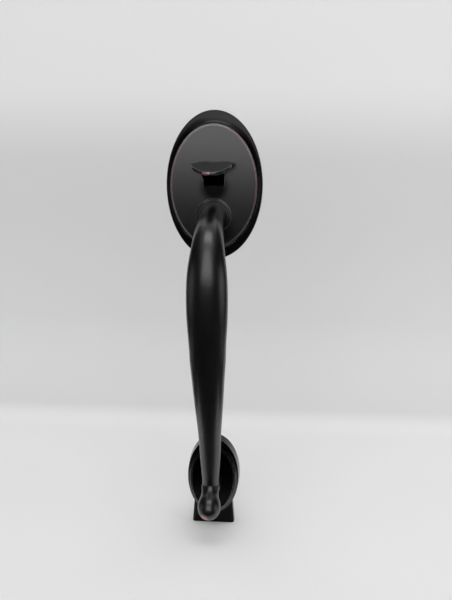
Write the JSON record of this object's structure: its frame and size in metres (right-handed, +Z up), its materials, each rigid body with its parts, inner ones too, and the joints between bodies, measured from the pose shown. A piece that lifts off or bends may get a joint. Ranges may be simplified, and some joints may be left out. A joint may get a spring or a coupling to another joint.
{
  "type": "entry door handleset",
  "caption": "Outside half of an entry door handleset: long swelling grip between two oval rosettes, a thumbpiece that turns a flat spindle, and a tapered lower block.",
  "frame": {"origin": "on the door's outer face, at the middle of the upper rosette and on the axis of the spindle", "axes": "+Z up along the handleset, +Y into the door, -Y out towards the hand, +X to the right seen from outside"},
  "size_m": [0.0712, 0.1285, 0.3211],
  "materials": {
    "dark_bronze": "very dark oil-rubbed bronze, satin, rubbed through to copper on its sharp edges",
    "zinc_plated_steel": "zinc plated sheet and bar, dull",
    "steel_fasteners": "plated steel, machined",
    "spring_steel": "oiled spring steel",
    "hub_steel": "turned steel, lightly greased",
    "bushing_brass": "turned brass"
  },
  "bodies": {
    "rosette": {"chassis_plate": "zinc_plated_steel", "chassis_screws": "steel_fasteners", "frame_screws": "steel_fasteners", "grip": "dark_bronze", "grip_root_screw": "steel_fasteners", "grip_root_washer": "steel_fasteners", "hub_bushing": "bushing_brass", "hub_washer": "spring_steel", "lower_bracket": "dark_bronze", "lower_post": "zinc_plated_steel", "lower_rosette": "dark_bronze", "lower_washer": "steel_fasteners", "mechanism_frame": "zinc_plated_steel", "pivot_pin_clip": "spring_steel", "through_bolt_posts": "zinc_plated_steel", "thumb_pivot_pin": "steel_fasteners", "thumb_return_spring": "spring_steel", "upper_rosette": "dark_bronze"},
    "thumb": {"thumbpiece": "dark_bronze"},
    "slide": {"lift_slide": "zinc_plated_steel"},
    "hub": {"spindle_hub": "hub_steel", "hub_retaining_ring": "spring_steel", "spindle": "zinc_plated_steel", "spindle_cross_pin": "spring_steel"}
  },
  "joints": [
    {"name": "thumb_press", "type": "hinge", "parent": "rosette", "child": "thumb", "pos_m": [0, -0.003, 0.013], "axis": [1, 0, 0], "range_deg": [0, 16], "stiffness_Nm_per_rad": 0.1, "springref_deg": -57.3, "deforming": ["thumb_return_spring"]},
    {"name": "slide_lift", "type": "slide", "parent": "rosette", "child": "slide", "axis": [0, 0, 1], "range_m": [0, 0.00383]},
    {"name": "hub_turn", "type": "hinge", "parent": "rosette", "child": "hub", "pos_m": [0, 0, 0], "axis": [0, 1, 0], "range_deg": [0, 32]}
  ],
  "couplings": [
    {"joint": "slide_lift", "follows": "thumb_press", "m_per_rad": 0.013715},
    {"joint": "hub_turn", "follows": "thumb_press", "ratio": 2}
  ]
}
